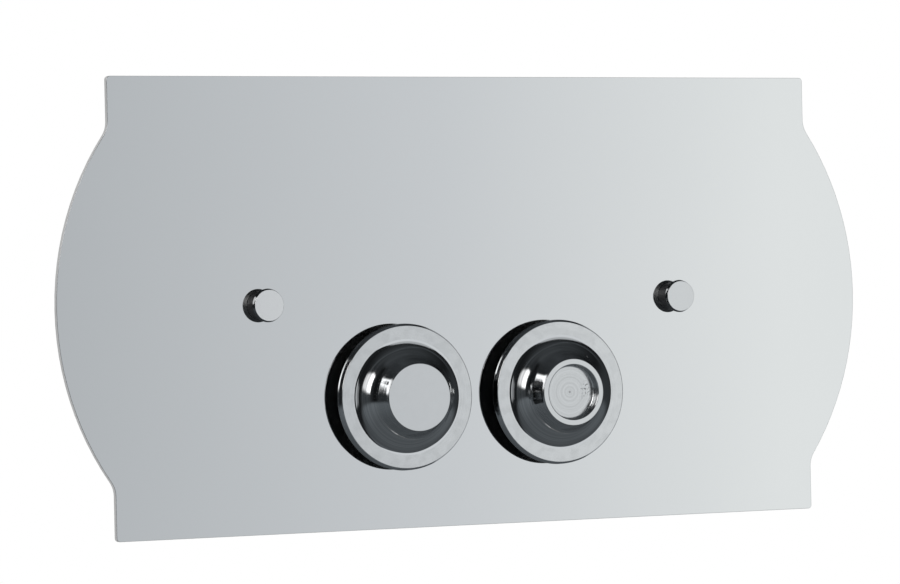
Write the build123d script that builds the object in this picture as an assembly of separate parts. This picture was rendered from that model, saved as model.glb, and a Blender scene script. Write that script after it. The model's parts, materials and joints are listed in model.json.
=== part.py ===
"""A flush button plate for a concealed cistern.

A polished plate with bowed ends carries two sprung push buttons, one for the full flush and one for the
half flush, and hangs on two studs with plain caps. Millimetres, +Z up, and the plate's front faces -Y.
The origin is in the wall plane, half way between the two studs.

Every turned piece is drawn on its own axis: radius from the axis, and height in front of the plate's
front face, so that a negative height is behind that face.
"""
from build123d import *
import os

# Plate outline: straight edges above and below, and ends that bow out in one arc
PLATE_HEIGHT = 150.0
PLATE_SHOULDER_WIDTH = 258.0
PLATE_OVERALL_WIDTH = 295.5
BOW_RADIUS = 98.25
BOW_ROOT_RADIUS = 8.0
CORNER_RADIUS = 1.2
PLATE_THICKNESS = 2.0
PLATE_EDGE_RADIUS = 0.12

# Seal strip behind the plate's edge, which rests on the wall
SEAL_THICKNESS = 1.5
SEAL_INSET = 7.0
SEAL_WIDTH = 7.0

# Places of the buttons and the studs
BUTTON_SPACING = 56.8
BUTTON_DROP = 31.3
STUD_SPACING = 152.5

# Button: a thin rim with a steep bevel, a flat ring, and a bell that rises in a cove and a steep neck to a small flat top
RIM_RADIUS = 24.4
RIM_THICKNESS = 2.2
RIM_DRAFT = 0.18
RIM_BEVEL_WIDTH = 0.52
RIM_BEVEL_DEPTH = 1.35
RIM_BEVEL_EDGE = 0.25
RIM_BACK_EDGE = 0.2
RING_HEIGHT = 7.25
BELL_FOOT_RADIUS = 19.2
BELL_FOOT_SLOPE = 5.0
BELL_COVE_RADIUS = 7.6
NECK_SLOPE = 69.0
NECK_LENGTH = 3.4
TOP_RADIUS = 11.15
TOP_HEIGHT = 16.9
TOP_EDGE = 0.15
THUMB_RECESS_RADIUS = 9.15
THUMB_RECESS_DEPTH = 3.0
THUMB_RECESS_FILLET = 0.8
LIP_EDGE = 0.35
FLANGE_POCKET_RADIUS = 15.2
SPRING_POCKET_RADIUS = 9.5
SPRING_POCKET_HEIGHT = 11.0
BOSS_RADIUS = 6.5
BOSS_HEIGHT = 6.0
BUTTON_TRAVEL = 4.5
ROOM_WHEN_PRESSED = 0.7

# Guide bush, its washer and its back nut
BUSH_RADIUS = 12.0
BUSH_LENGTH_BEHIND = 16.5
BUSH_END_CHAMFER = 1.0
FLANGE_RADIUS = 14.2
FLANGE_THICKNESS = 1.2
FLANGE_EDGE = 0.4
SPRING_HOUSING_RADIUS = 9.2
SPRING_SEAT_HEIGHT = -8.0
BUSH_HOLE_RADIUS = 12.2
BUSH_WASHER_RADIUS = 16.0
BUSH_WASHER_THICKNESS = 1.0
BUSH_NUT_FLATS = 30.0
BUSH_NUT_THICKNESS = 6.0

# Stem, its clip, and the rod that it pushes
STEM_RADIUS = 5.0
STEM_END_HEIGHT = -23.5
STEM_THREAD_RADIUS = 4.0
STEM_THREAD_LENGTH = 5.0
CLIP_GROOVE_RADIUS = 4.0
CLIP_OUTER_RADIUS = 7.4
CLIP_THICKNESS = 1.0
CLIP_MOUTH = 6.0
CLIP_PLAY = 0.3
ROD_RADIUS = 3.0
ROD_END_HEIGHT = -59.5
ROD_GRIP_LENGTH = 11.5
LOCK_NUT_FLATS = 10.0
LOCK_NUT_THICKNESS = 5.0
TIP_RADIUS = 5.0
TIP_LENGTH = 10.0
TIP_WALL = 4.0
TIP_EDGE = 1.2
TIP_MOUTH_EDGE = 0.6

# Return spring
SPRING_WIRE_RADIUS = 0.6
SPRING_MEAN_RADIUS = 8.2
SPRING_COILS = 5.0
SPRING_END_GAP = 0.05

# Fixing studs, their caps and the thick washers that the caps' shanks stand in
CAP_FACE_RADIUS = 5.1
CAP_RADIUS = 5.5
CAP_BACK_RADIUS = 4.83
CAP_HEIGHT = 5.3
CAP_BEVEL_DEPTH = 1.1
CAP_FRONT_EDGE = 0.1
CAP_BACK_EDGE = 0.1
CAP_FACE_THICKNESS = 1.4
CAP_SHANK_RADIUS = 3.6
CAP_SHANK_GAP = 0.3
CAP_WASHER_RADIUS = 4.7
CAP_WASHER_THICKNESS = 2.4
STUD_NECK_RADIUS = 2.5
STUD_RADIUS = 3.0
STUD_LENGTH = 45.0
STUD_COLLAR_FLATS = 10.0
STUD_HOLE_RADIUS = 2.8

# A nut's crown, as a share of how far its corners stand out past its flats
NUT_CROWN = 0.55

# Clearances: a thread in its own hole, a stem that slides, a chamfer that starts a thread
THREAD_PLAY = 0.05
SLIDE_PLAY = 0.05
THREAD_LEAD = 0.6

FRONT_Y = -(SEAL_THICKNESS + PLATE_THICKNESS)
BACK_HEIGHT = -PLATE_THICKNESS
WALL_HEIGHT = BACK_HEIGHT - SEAL_THICKNESS
RIM_BACK_HEIGHT = RING_HEIGHT - RIM_THICKNESS
FLANGE_POCKET_HEIGHT = FLANGE_THICKNESS + BUTTON_TRAVEL + ROOM_WHEN_PRESSED
BUSH_END_HEIGHT = BACK_HEIGHT - BUSH_LENGTH_BEHIND


def on_plate(x, z):
    """The working plane of a turned piece: its axis points out of the plate's front at x, z."""
    return Plane(origin=(x, FRONT_Y, z), x_dir=(1, 0, 0), z_dir=(0, -1, 0))


def profile(*corners):
    """A half-section from its corners, each given as radius and height."""
    return make_face(Polyline(*corners, close=True))


def eased(section, corner, radius):
    """The section with the corner nearest to the given radius and height rounded."""
    nearest = section.vertices().sort_by_distance((corner[0], corner[1], 0))[0]
    return fillet(nearest, radius)


def bevelled(section, corner, length):
    """The section with the corner nearest to the given radius and height cut at 45 degrees."""
    nearest = section.vertices().sort_by_distance((corner[0], corner[1], 0))[0]
    return chamfer(nearest, length)


def turned(section):
    """A half-section spun about the piece's own axis."""
    return revolve(Plane.XZ * section, Axis.Z)


def tube(outer_radius, inner_radius, low, high):
    """A plain ring between two heights."""
    section = profile((inner_radius, low), (outer_radius, low), (outer_radius, high), (inner_radius, high))
    return turned(section)


def hexagon(flats, low, high):
    """A hexagon bar between two heights, with its corners turned off at both faces."""
    outline = RegularPolygon(flats / 2, 6, major_radius=False)
    corner_radius = max(v.center().length for v in outline.vertices())
    crown = (corner_radius - flats / 2) * NUT_CROWN
    envelope = profile(
        (0, low),
        (flats / 2, low),
        (corner_radius, low + crown),
        (corner_radius, high - crown),
        (flats / 2, high),
        (0, high),
    )
    return (Pos(0, 0, low) * extrude(outline, high - low)) & turned(envelope)


def hexagon_nut(flats, bore_radius, low, high):
    """A hexagon nut with a plain bore."""
    return hexagon(flats, low, high) - tube(bore_radius, 0, low, high)


def plate_outline(inset=0.0):
    """The plate's outline, or one that runs the given distance inside it."""
    bow_centre = PLATE_OVERALL_WIDTH / 2 - BOW_RADIUS
    half_shoulder = PLATE_SHOULDER_WIDTH / 2
    bow_half_height = (BOW_RADIUS**2 - (half_shoulder - bow_centre) ** 2) ** 0.5
    outline = Rectangle(PLATE_SHOULDER_WIDTH, PLATE_HEIGHT)
    for side in (-1, 1):
        band = Pos(side * half_shoulder, 0) * Rectangle(half_shoulder, 2 * bow_half_height)
        outline += (Pos(side * bow_centre, 0) * Circle(BOW_RADIUS)) & band
    four_roots = sorted(outline.vertices(), key=lambda v: abs(v.Y))[:4]
    outline = fillet(four_roots, BOW_ROOT_RADIUS)
    four_corners = sorted(outline.vertices(), key=lambda v: abs(v.Y))[-4:]
    outline = fillet(four_corners, CORNER_RADIUS)
    return offset(outline, -inset, kind=Kind.ARC) if inset else outline


def face_plate():
    """The plate: eased along its front edge, and bored for two bushes and two studs."""
    plate = Plane.XZ.offset(SEAL_THICKNESS) * extrude(plate_outline(), PLATE_THICKNESS)
    front_face = plate.faces().sort_by(Axis.Y)[0]
    plate = fillet(front_face.outer_wire().edges(), PLATE_EDGE_RADIUS)
    for side in (-1, 1):
        bush_hole = tube(BUSH_HOLE_RADIUS, 0, BACK_HEIGHT, 0)
        stud_hole = tube(STUD_HOLE_RADIUS, 0, BACK_HEIGHT, 0)
        plate -= on_plate(side * BUTTON_SPACING / 2, -BUTTON_DROP) * bush_hole
        plate -= on_plate(side * STUD_SPACING / 2, 0) * stud_hole
    return plate


def wall_seal():
    """The seal: one strip that follows the outline a little inside the plate's edge."""
    strip = plate_outline(SEAL_INSET) - plate_outline(SEAL_INSET + SEAL_WIDTH)
    return Plane.XZ * extrude(strip, SEAL_THICKNESS)


def button(recessed):
    """One button, hollow behind for the bush's flange and the spring, with a tapped boss for its stem."""
    shoulder_radius = RIM_RADIUS - RIM_DRAFT
    ring_radius = shoulder_radius - RIM_BEVEL_WIDTH
    inside = Polyline(
        (0, TOP_HEIGHT),
        (0, BOSS_HEIGHT + STEM_THREAD_LENGTH),
        (STEM_THREAD_RADIUS, BOSS_HEIGHT + STEM_THREAD_LENGTH),
        (STEM_THREAD_RADIUS, BOSS_HEIGHT),
        (BOSS_RADIUS, BOSS_HEIGHT),
        (BOSS_RADIUS, SPRING_POCKET_HEIGHT),
        (SPRING_POCKET_RADIUS, SPRING_POCKET_HEIGHT),
        (SPRING_POCKET_RADIUS, FLANGE_POCKET_HEIGHT),
        (FLANGE_POCKET_RADIUS, FLANGE_POCKET_HEIGHT),
        (FLANGE_POCKET_RADIUS, RIM_BACK_HEIGHT),
        (RIM_RADIUS, RIM_BACK_HEIGHT),
        (shoulder_radius, RING_HEIGHT - RIM_BEVEL_DEPTH),
        (ring_radius, RING_HEIGHT),
        (BELL_FOOT_RADIUS, RING_HEIGHT),
    )
    foot = Vector(BELL_FOOT_RADIUS, RING_HEIGHT)
    cove_centre = foot + Vector(0, BELL_COVE_RADIUS).rotate(Axis.Z, -BELL_FOOT_SLOPE)
    cove = CenterArc(cove_centre, BELL_COVE_RADIUS, 270 - BELL_FOOT_SLOPE, BELL_FOOT_SLOPE - NECK_SLOPE)
    neck = PolarLine(cove @ 1, NECK_LENGTH, 180 - NECK_SLOPE)
    crown = TangentArc(neck @ 1, (TOP_RADIUS, TOP_HEIGHT), tangent=neck % 1)
    top = Line((TOP_RADIUS, TOP_HEIGHT), (0, TOP_HEIGHT))
    section = make_face(inside + cove + neck + crown + top)
    section = eased(section, (ring_radius, RING_HEIGHT), RIM_BEVEL_EDGE)
    section = eased(section, (RIM_RADIUS, RIM_BACK_HEIGHT), RIM_BACK_EDGE)
    section = eased(section, (TOP_RADIUS, TOP_HEIGHT), TOP_EDGE)
    if recessed:
        floor = TOP_HEIGHT - THUMB_RECESS_DEPTH
        above = TOP_HEIGHT + THUMB_RECESS_DEPTH
        recess = profile((0, floor), (THUMB_RECESS_RADIUS, floor), (THUMB_RECESS_RADIUS, above), (0, above))
        section -= eased(recess, (THUMB_RECESS_RADIUS, floor), THUMB_RECESS_FILLET)
        section = eased(section, (THUMB_RECESS_RADIUS, TOP_HEIGHT), LIP_EDGE)
    return turned(section)


def guide_bush():
    """The bush: a flange in front, a housing for the spring, and a long bore that guides the stem."""
    stem_bore = STEM_RADIUS + SLIDE_PLAY
    section = profile(
        (SPRING_HOUSING_RADIUS, FLANGE_THICKNESS),
        (SPRING_HOUSING_RADIUS, SPRING_SEAT_HEIGHT),
        (stem_bore, SPRING_SEAT_HEIGHT),
        (stem_bore, BUSH_END_HEIGHT),
        (BUSH_RADIUS, BUSH_END_HEIGHT),
        (BUSH_RADIUS, 0),
        (FLANGE_RADIUS, 0),
        (FLANGE_RADIUS, FLANGE_THICKNESS),
    )
    section = bevelled(section, (BUSH_RADIUS, BUSH_END_HEIGHT), BUSH_END_CHAMFER)
    section = eased(section, (FLANGE_RADIUS, FLANGE_THICKNESS), FLANGE_EDGE)
    return turned(section)


def bush_washer():
    """The washer between the plate's back and the bush's nut."""
    low = BACK_HEIGHT - BUSH_WASHER_THICKNESS
    return tube(BUSH_WASHER_RADIUS, BUSH_HOLE_RADIUS, low, BACK_HEIGHT)


def bush_nut():
    """The nut that clamps the bush in the plate."""
    high = BACK_HEIGHT - BUSH_WASHER_THICKNESS
    return hexagon_nut(BUSH_NUT_FLATS, BUSH_RADIUS + THREAD_PLAY, high - BUSH_NUT_THICKNESS, high)


def stem():
    """The stem: a threaded end in the button, a groove for the clip, a tapped hole for the rod."""
    groove_high = BUSH_END_HEIGHT - CLIP_PLAY + THREAD_PLAY
    groove_low = groove_high - CLIP_THICKNESS - 2 * THREAD_PLAY
    thread_radius = STEM_THREAD_RADIUS - THREAD_PLAY
    thread_end = BOSS_HEIGHT + STEM_THREAD_LENGTH - THREAD_PLAY
    rod_hole = ROD_RADIUS + THREAD_PLAY
    hole_end = STEM_END_HEIGHT + ROD_GRIP_LENGTH + THREAD_LEAD
    section = profile(
        (0, thread_end),
        (thread_radius, thread_end),
        (thread_radius, BOSS_HEIGHT),
        (STEM_RADIUS, BOSS_HEIGHT),
        (STEM_RADIUS, groove_high),
        (CLIP_GROOVE_RADIUS, groove_high),
        (CLIP_GROOVE_RADIUS, groove_low),
        (STEM_RADIUS, groove_low),
        (STEM_RADIUS, STEM_END_HEIGHT),
        (rod_hole, STEM_END_HEIGHT),
        (rod_hole, hole_end),
        (0, hole_end),
    )
    section = bevelled(section, (STEM_RADIUS, STEM_END_HEIGHT), THREAD_LEAD)
    return turned(section)


def stem_clip():
    """An open clip that sits in the stem's groove, just behind the bush."""
    high = BUSH_END_HEIGHT - CLIP_PLAY
    ring = Circle(CLIP_OUTER_RADIUS) - Circle(CLIP_GROOVE_RADIUS + THREAD_PLAY)
    mouth = Pos(0, -CLIP_OUTER_RADIUS) * Rectangle(CLIP_MOUTH, 2 * CLIP_OUTER_RADIUS)
    return Pos(0, 0, high - CLIP_THICKNESS) * extrude(ring - mouth, CLIP_THICKNESS)


def return_spring():
    """A compression spring from the bush's seat to the button's underside."""
    low = SPRING_SEAT_HEIGHT + SPRING_WIRE_RADIUS + SPRING_END_GAP
    high = SPRING_POCKET_HEIGHT - SPRING_WIRE_RADIUS - SPRING_END_GAP
    path = Helix((high - low) / SPRING_COILS, high - low, SPRING_MEAN_RADIUS, center=(0, 0, low))
    return sweep(Plane(path @ 0, z_dir=path % 0) * Circle(SPRING_WIRE_RADIUS), path, is_frenet=True)


def push_rod():
    """The rod: a length of threaded bar with both ends bevelled."""
    high = STEM_END_HEIGHT + ROD_GRIP_LENGTH
    section = profile((0, ROD_END_HEIGHT), (ROD_RADIUS, ROD_END_HEIGHT), (ROD_RADIUS, high), (0, high))
    for end in (ROD_END_HEIGHT, high):
        section = bevelled(section, (ROD_RADIUS, end), THREAD_LEAD)
    return turned(section)


def lock_nut():
    """The nut that locks the rod against the stem's end."""
    low = STEM_END_HEIGHT - LOCK_NUT_THICKNESS
    return hexagon_nut(LOCK_NUT_FLATS, ROD_RADIUS + THREAD_PLAY, low, STEM_END_HEIGHT)


def rod_tip():
    """A soft tip pushed over the rod's end."""
    low = ROD_END_HEIGHT - TIP_WALL
    high = low + TIP_LENGTH
    bore = ROD_RADIUS + THREAD_PLAY
    bore_end = ROD_END_HEIGHT - THREAD_PLAY
    section = profile(
        (0, low),
        (TIP_RADIUS, low),
        (TIP_RADIUS, high),
        (bore, high),
        (bore, bore_end),
        (0, bore_end),
    )
    section = eased(section, (TIP_RADIUS, low), TIP_EDGE)
    section = eased(section, (TIP_RADIUS, high), TIP_MOUTH_EDGE)
    return turned(section)


def fixing_cap():
    """A blind cap nut: a flat head, widest near its face, and a shank inside the washer."""
    low = CAP_WASHER_THICKNESS
    bore_end = CAP_HEIGHT - CAP_FACE_THICKNESS
    section = profile(
        (0, CAP_HEIGHT),
        (0, bore_end),
        (STUD_NECK_RADIUS, bore_end),
        (STUD_NECK_RADIUS, CAP_SHANK_GAP),
        (CAP_SHANK_RADIUS, CAP_SHANK_GAP),
        (CAP_SHANK_RADIUS, low),
        (CAP_BACK_RADIUS, low),
        (CAP_RADIUS, CAP_HEIGHT - CAP_BEVEL_DEPTH),
        (CAP_FACE_RADIUS, CAP_HEIGHT),
    )
    section = eased(section, (CAP_FACE_RADIUS, CAP_HEIGHT), CAP_FRONT_EDGE)
    section = eased(section, (CAP_BACK_RADIUS, low), CAP_BACK_EDGE)
    return turned(section)


def cap_washer():
    """The thick washer that keeps the cap off the polished plate, open for the cap's shank."""
    return tube(CAP_WASHER_RADIUS, CAP_SHANK_RADIUS + THREAD_PLAY, 0, CAP_WASHER_THICKNESS)


def fixing_stud():
    """A shouldered stud: a thin neck for the cap, a hexagon collar behind the plate, a longer shank."""
    neck_radius = STUD_NECK_RADIUS - THREAD_PLAY
    neck_end = CAP_HEIGHT - CAP_FACE_THICKNESS - THREAD_PLAY
    shank_end = WALL_HEIGHT - STUD_LENGTH
    section = profile(
        (0, neck_end),
        (neck_radius, neck_end),
        (neck_radius, BACK_HEIGHT),
        (STUD_RADIUS, BACK_HEIGHT),
        (STUD_RADIUS, shank_end),
        (0, shank_end),
    )
    section = bevelled(section, (STUD_RADIUS, shank_end), THREAD_LEAD)
    return turned(section) + hexagon(STUD_COLLAR_FLATS, WALL_HEIGHT, BACK_HEIGHT)


def button_set():
    """The pieces behind one button, by name, all on the button's own axis."""
    return {
        "guide_bush": guide_bush(),
        "bush_washer": bush_washer(),
        "bush_nut": bush_nut(),
        "return_spring": return_spring(),
        "stem": stem(),
        "stem_clip": stem_clip(),
        "push_rod": push_rod(),
        "lock_nut": lock_nut(),
        "rod_tip": rod_tip(),
    }


def assembly():
    """Every piece of the plate, by name, in its place."""
    pieces = {"face_plate": face_plate(), "wall_seal": wall_seal()}
    behind = button_set()
    for flush, side, recessed in (("full_flush", -1, False), ("half_flush", 1, True)):
        axis = on_plate(side * BUTTON_SPACING / 2, -BUTTON_DROP)
        pieces[f"{flush}_button"] = axis * button(recessed)
        for name, piece in behind.items():
            pieces[f"{flush}_{name}"] = axis * piece
    for hand, side in (("left", -1), ("right", 1)):
        axis = on_plate(side * STUD_SPACING / 2, 0)
        pieces[f"fixing_cap_{hand}"] = axis * fixing_cap()
        pieces[f"cap_washer_{hand}"] = axis * cap_washer()
        pieces[f"fixing_stud_{hand}"] = axis * fixing_stud()
    return pieces


os.makedirs("parts", exist_ok=True)
for node, shape in assembly().items():
    export_step(shape, f"parts/{node}.step")
    print(node, round(shape.volume, 1))
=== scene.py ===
# %% [markdown]
# # A flush button plate
# A mirror-polished plate hides a cistern in the wall. Two turned buttons stand on it, one for the full
# flush and one for the half flush, and two small caps hold it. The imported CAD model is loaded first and
# stays where it is. Everything else in this lesson is fitted to it, with the plate facing -Y. Blender works
# in metres. The sizes of pieces are written in millimetres, as on a drawing, and multiplied by MM in use.

# %% Load the frame
import json
import math

import bpy
from mathutils import Matrix, Vector


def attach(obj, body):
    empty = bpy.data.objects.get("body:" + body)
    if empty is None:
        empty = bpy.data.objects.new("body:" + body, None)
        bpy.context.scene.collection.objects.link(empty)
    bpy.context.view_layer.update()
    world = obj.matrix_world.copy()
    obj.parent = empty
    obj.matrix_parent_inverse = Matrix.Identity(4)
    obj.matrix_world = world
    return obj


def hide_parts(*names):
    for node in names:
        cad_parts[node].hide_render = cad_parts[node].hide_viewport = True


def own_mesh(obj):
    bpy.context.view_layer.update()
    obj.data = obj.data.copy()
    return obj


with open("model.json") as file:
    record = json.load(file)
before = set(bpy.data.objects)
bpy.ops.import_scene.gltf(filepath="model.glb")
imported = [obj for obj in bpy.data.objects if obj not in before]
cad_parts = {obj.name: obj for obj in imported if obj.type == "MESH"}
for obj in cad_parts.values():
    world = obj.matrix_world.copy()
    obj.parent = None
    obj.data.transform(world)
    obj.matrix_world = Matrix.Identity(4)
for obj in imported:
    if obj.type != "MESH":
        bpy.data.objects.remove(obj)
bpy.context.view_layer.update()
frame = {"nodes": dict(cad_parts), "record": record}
nodes = frame["nodes"]

# %% Main places
MM = 0.001
record = frame["record"]
press = next(joint for joint in record["behaviour"]["joints"] if joint["name"] == "half_flush_press")
studs = next(mount for mount in record["mounts"] if mount["name"] == "fixing_studs")
BUTTON_X, PLATE_FRONT, BUTTON_Z = (part / MM for part in press["pos_m"])
CAP_X = studs["dims"]["spacing_x_mm"] / 2
FLUSHES = ("full_flush", "half_flush")
HANDS = ("left", "right")
print("buttons", round(BUTTON_X, 2), "mm and caps", CAP_X, "mm to each side of the middle")


# %% [markdown]
# ## Camera
# The photograph looks at the plate from its left, level with it, through a long lens. The camera could be
# placed by eye, but then the ellipses of the buttons would never quite fit. Here the angle, distance and
# focal length come from the places of the plate's corners and the buttons' centres, and a small lens shift
# puts the plate where the picture has it.

# %% Place the camera
PICTURE = (900, 584)
SENSOR_WIDTH = 36.0
VIEW_AZIMUTH = math.radians(-25.718)
VIEW_ROLL = math.radians(-1.316)
VIEW_DISTANCE = 1.3792
FOCAL_PIXELS = 4117.5
AIM = Vector((0.0, PLATE_FRONT, 0.0)) * MM
AIM_PIXEL = (473.21, 300.72)

towards_camera = Vector((math.sin(VIEW_AZIMUTH), -math.cos(VIEW_AZIMUTH), 0.0))
level_right = Vector((math.cos(VIEW_AZIMUTH), math.sin(VIEW_AZIMUTH), 0.0))
level_up = Vector((0.0, 0.0, 1.0))
camera_right = math.cos(VIEW_ROLL) * level_right + math.sin(VIEW_ROLL) * level_up
camera_up = math.cos(VIEW_ROLL) * level_up - math.sin(VIEW_ROLL) * level_right
camera_place = AIM + VIEW_DISTANCE * towards_camera

bpy.ops.object.select_all(action="DESELECT")
bpy.ops.object.camera_add()
camera = bpy.context.object
camera.matrix_world = Matrix((
    (camera_right.x, camera_up.x, towards_camera.x, camera_place.x),
    (camera_right.y, camera_up.y, towards_camera.y, camera_place.y),
    (camera_right.z, camera_up.z, towards_camera.z, camera_place.z),
    (0.0, 0.0, 0.0, 1.0),
))
camera.data.sensor_width = SENSOR_WIDTH
camera.data.lens = FOCAL_PIXELS / PICTURE[0] * SENSOR_WIDTH
camera.data.shift_x = (PICTURE[0] / 2 - AIM_PIXEL[0]) / PICTURE[0]
camera.data.shift_y = (AIM_PIXEL[1] - PICTURE[1] / 2) / PICTURE[0]
bpy.context.scene.camera = camera
bpy.context.scene.view_settings.view_transform = "Standard"
print("camera", VIEW_DISTANCE, "m away, lens", round(camera.data.lens, 1), "mm")


# %% [markdown]
# ## Shader sums
# Finishes are mostly small sums: a mask times a tint, one minus a mask. Wiring Math nodes by hand hides
# such a sum, so a socket is wrapped in a small class. Python's own operators then add the Math nodes, and
# one method adds any other node.

# %% Wrap a shader socket
class Field:
    """A socket whose value changes over a surface, for use in Python expressions."""

    def __init__(self, socket):
        self.socket = socket

    def node(self, kind, settings=None, inputs=None, out=0):
        """Adds a node: first its settings, then the values or links of its sockets."""
        tree = self.socket.id_data
        made = tree.nodes.new(kind)
        for key, value in (settings or {}).items():
            if key == "stops":
                while len(made.color_ramp.elements) < len(value):
                    made.color_ramp.elements.new(1.0)
                for stop, (position, colour) in zip(made.color_ramp.elements, value):
                    stop.position = position
                    stop.color = colour
            else:
                setattr(made, key, value)
        for key, value in (inputs or {}).items():
            if isinstance(value, Field):
                tree.links.new(value.socket, made.inputs[key])
            else:
                made.inputs[key].default_value = value
        return Field(made.outputs[out]) if made.outputs else None

    def maths(self, operation, *terms):
        """Adds a Math node for these terms."""
        return self.node("ShaderNodeMath", {"operation": operation}, dict(enumerate(terms)))

    def __add__(self, other):
        return self.maths("ADD", self, other)

    def __sub__(self, other):
        return self.maths("SUBTRACT", self, other)

    def __rsub__(self, other):
        return self.maths("SUBTRACT", other, self)

    def __mul__(self, other):
        return self.maths("MULTIPLY", self, other)

    def __truediv__(self, other):
        return self.maths("DIVIDE", self, other)

    __radd__ = __add__
    __rmul__ = __mul__

    def step(self, low, high):
        """Rises smoothly from 0 at low to 1 at high."""
        settings = {"interpolation_type": "SMOOTHSTEP"}
        return self.node("ShaderNodeMapRange", settings, {"Value": self, "From Min": low, "From Max": high})

    def band(self, low, high, soft):
        """1 between low and high, with soft edges."""
        return self.step(low - soft, low + soft) * (1 - self.step(high - soft, high + soft))

    def noise(self, scale, detail=2.0):
        """Soft random values around a half."""
        return self.node("ShaderNodeTexNoise", None, {"Vector": self, "Scale": scale, "Detail": detail})

    def between(self, first, second):
        """A colour that goes from first to second as this goes from 0 to 1."""
        return self.node("ShaderNodeMix", {"data_type": "RGBA"}, {0: self, 6: first, 7: second}, out=2)

    def axis(self, letter):
        """One part of a vector."""
        return self.node("ShaderNodeSeparateXYZ", None, {0: self}, out=letter)


def grey(value):
    """A tone without a tint."""
    return (value, value, value, 1.0)


def cool(value):
    """A tone with a slight blue tint."""
    return (0.90 * value, value, 1.08 * value, 1.0)


print("a socket can now be added, multiplied and mixed")


# %% [markdown]
# ## Studio
# A mirror has almost no colour of its own: it shows what stands around it. The plate in the picture shows
# a pale card on the right of the camera, and the buttons' bells show the card again, a bright window on
# the left, a grey floor and a dark room. So a big dome all round carries those things as soft patches of
# light, found by direction. A small panel straight in front and a pale half behind keep the metal from
# looking black from other sides. Only glossy rays see the dome. White light from all round and two soft
# lamps light the pieces that aren't mirrors, at a plain level.

# %% Floor
FLOOR_SIZE, FLOOR_Z = 8.0, -0.45
bpy.ops.object.select_all(action="DESELECT")
bpy.ops.mesh.primitive_plane_add(size=FLOOR_SIZE, location=(0.0, 0.0, FLOOR_Z))
floor = bpy.context.object
floor.name = "studio_floor"
floor.visible_glossy = False
floor_finish = bpy.data.materials.new("pale_floor")
floor_finish.use_nodes = True
floor_shader = floor_finish.node_tree.nodes["Principled BSDF"]
floor_shader.inputs["Base Color"].default_value = grey(0.90)
floor_shader.inputs["Roughness"].default_value = 0.8
floor.data.materials.append(floor_finish)
print("floor", -FLOOR_Z, "m below the plate's middle")

# %% Dome of reflections
DOME_RADIUS = 6.0
bpy.ops.object.select_all(action="DESELECT")
bpy.ops.mesh.primitive_uv_sphere_add(segments=96, ring_count=48, radius=DOME_RADIUS)
dome = bpy.context.object
dome.name = "studio_dome"
dome.visible_camera = False
dome.visible_diffuse = False
dome.visible_transmission = False
dome.visible_shadow = False
print("dome of", len(dome.data.polygons), "faces")

# %% Directions on the dome
DEGREES = 180.0 / math.pi
dome_finish = bpy.data.materials.new("studio_room")
dome_finish.use_nodes = True
dome_tree = dome_finish.node_tree
dome_tree.nodes.clear()
where = Field(dome_tree.nodes.new("ShaderNodeTexCoord").outputs["Object"])
heading = where.node("ShaderNodeVectorMath", {"operation": "NORMALIZE"}, {0: where})
turn = where.maths("ARCTAN2", heading.axis("X"), 0.0 - heading.axis("Y")) * DEGREES
lift = where.maths("ARCSINE", heading.axis("Z")) * DEGREES
print("turn is in degrees to the right of straight ahead, and lift in degrees above level")

# %% Walls of the dim room
WALL_LIGHTENS = (16.0, 54.0)
LEFT_WALL_LIGHTENS = (-90.0, -62.0)
LEFT_CORNER = (-62.0, -24.0)
RIGHT_CORNER, RIGHT_WALL_TOP = (40.0, 56.0), (4.0, 20.0)
SILL_ENDS, SILL_SOFT, SILL_TOP = (-66.0, -20.0), 5.0, (3.0, 9.0)
CEILING = (58.0, 72.0)
ARCH_TURN, ARCH_HALF_WIDTH, ARCH_HEIGHT = 14.0, 44.0, 55.0
ARCH_BAND, ARCH_SOFT, ARCH_FOOT = (0.92, 1.16), 0.11, (8.0, 22.0)

room = lift.step(*WALL_LIGHTENS).between(cool(0.016), cool(0.064))
left_wall = turn.step(*LEFT_WALL_LIGHTENS).between(cool(0.011), cool(0.036))
room = turn.step(*LEFT_CORNER).between(left_wall, room)
right_wall = turn.step(*RIGHT_CORNER) * (1 - lift.step(*RIGHT_WALL_TOP))
room = right_wall.between(room, cool(0.054))
sill = turn.band(*SILL_ENDS, SILL_SOFT) * (1 - lift.step(*SILL_TOP))
room = sill.between(room, cool(0.074))
room = lift.step(*CEILING).between(room, cool(0.077))
along_arch = (turn - ARCH_TURN) / ARCH_HALF_WIDTH
up_arch = lift / ARCH_HEIGHT
arch = (along_arch * along_arch + up_arch * up_arch).band(*ARCH_BAND, ARCH_SOFT) * lift.step(*ARCH_FOOT)
room = arch.between(room, cool(0.102))
print("walls with a sill, an arch and a ceiling")

# %% Floor of the dim room
LEFT_FLOOR_DARKENS = (-42.0, -4.0)
RIGHT_FLOOR = (45.0, 65.0)
NEAR_FLOOR = (-50.0, -12.0)
HORIZON, HORIZON_DIP = (-13.5, -6.0), 5.0
DIP_ENDS, DIP_SOFT = (-10.0, 17.0), 9.0

floor_tone = turn.step(*LEFT_FLOOR_DARKENS).between(cool(0.215), cool(0.102))
floor_tone = turn.step(*RIGHT_FLOOR).between(floor_tone, cool(0.175))
floor_tone = lift.step(*NEAR_FLOOR).between(cool(0.145), floor_tone)
above_horizon = lift + turn.band(*DIP_ENDS, DIP_SOFT) * HORIZON_DIP
room = above_horizon.step(*HORIZON).between(floor_tone, room)
print("a floor that reaches up to", HORIZON[1], "degrees")

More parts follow.
